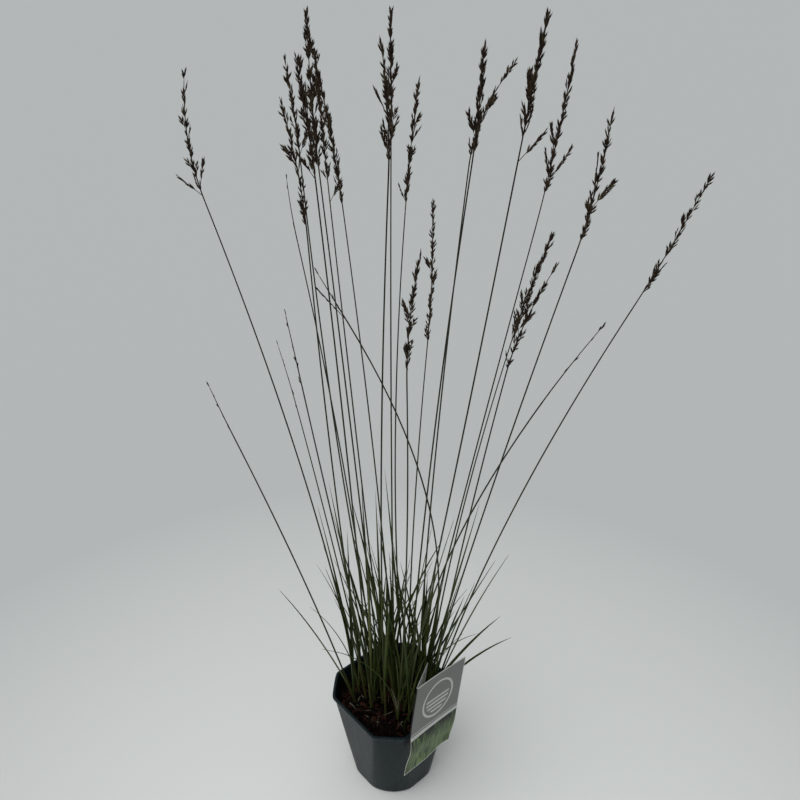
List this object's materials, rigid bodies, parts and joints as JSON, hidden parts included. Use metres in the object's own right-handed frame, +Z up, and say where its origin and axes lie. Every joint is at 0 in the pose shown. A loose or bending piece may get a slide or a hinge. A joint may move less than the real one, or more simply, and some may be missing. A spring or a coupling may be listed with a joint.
{
  "type": "potted moor grass",
  "caption": "Purple moor grass in flower: fine upright stems with narrow dark flower heads over a tuft of leaves, in a nursery pot with a plain picture label.",
  "frame": {"origin": "middle of the pot's underside, on the surface that it stands on", "axes": "+Z up; the pot's front, which the picture shows, faces -Y; the label hangs over the rim between -Y and +X"},
  "size_m": [0.4906, 0.362, 0.9788],
  "materials": {
    "pot_plastic": "satin",
    "potting_mix": "matte",
    "label_card": "satin",
    "leaf_green": "satin",
    "stem_green": "satin",
    "flower_purple": "matte"
  },
  "bodies": {
    "root": {"pot": "pot_plastic", "soil": "potting_mix", "label": "label_card", "tuft_1": "leaf_green", "tuft_2": "leaf_green", "tuft_3": "leaf_green", "tuft_4": "leaf_green", "tuft_5": "leaf_green", "culm_01": "stem_green", "culm_02": "stem_green", "culm_03": "stem_green", "culm_04": "stem_green", "culm_05": "stem_green", "culm_06": "stem_green", "culm_07": "stem_green", "culm_08": "stem_green", "culm_09": "stem_green", "culm_10": "stem_green", "culm_11": "stem_green", "culm_12": "stem_green", "culm_13": "stem_green", "culm_14": "stem_green", "culm_15": "stem_green", "culm_16": "stem_green", "culm_17": "stem_green", "culm_18": "stem_green", "culm_19": "stem_green", "culm_20": "stem_green", "culm_21": "stem_green", "culm_22": "stem_green", "culm_23": "stem_green", "culm_24": "stem_green", "culm_25": "stem_green", "culm_26": "stem_green", "panicle_01": "flower_purple", "panicle_02": "flower_purple", "panicle_03": "flower_purple", "panicle_04": "flower_purple", "panicle_05": "flower_purple", "panicle_06": "flower_purple", "panicle_07": "flower_purple", "panicle_08": "flower_purple", "panicle_09": "flower_purple", "panicle_10": "flower_purple", "panicle_11": "flower_purple", "panicle_12": "flower_purple", "panicle_13": "flower_purple", "panicle_14": "flower_purple", "panicle_15": "flower_purple", "panicle_16": "flower_purple", "panicle_17": "flower_purple", "panicle_18": "flower_purple", "panicle_19": "flower_purple", "panicle_20": "flower_purple", "panicle_21": "flower_purple", "panicle_22": "flower_purple", "panicle_23": "flower_purple", "panicle_24": "flower_purple", "panicle_25": "flower_purple", "panicle_26": "flower_purple"}
  },
  "joints": []
}
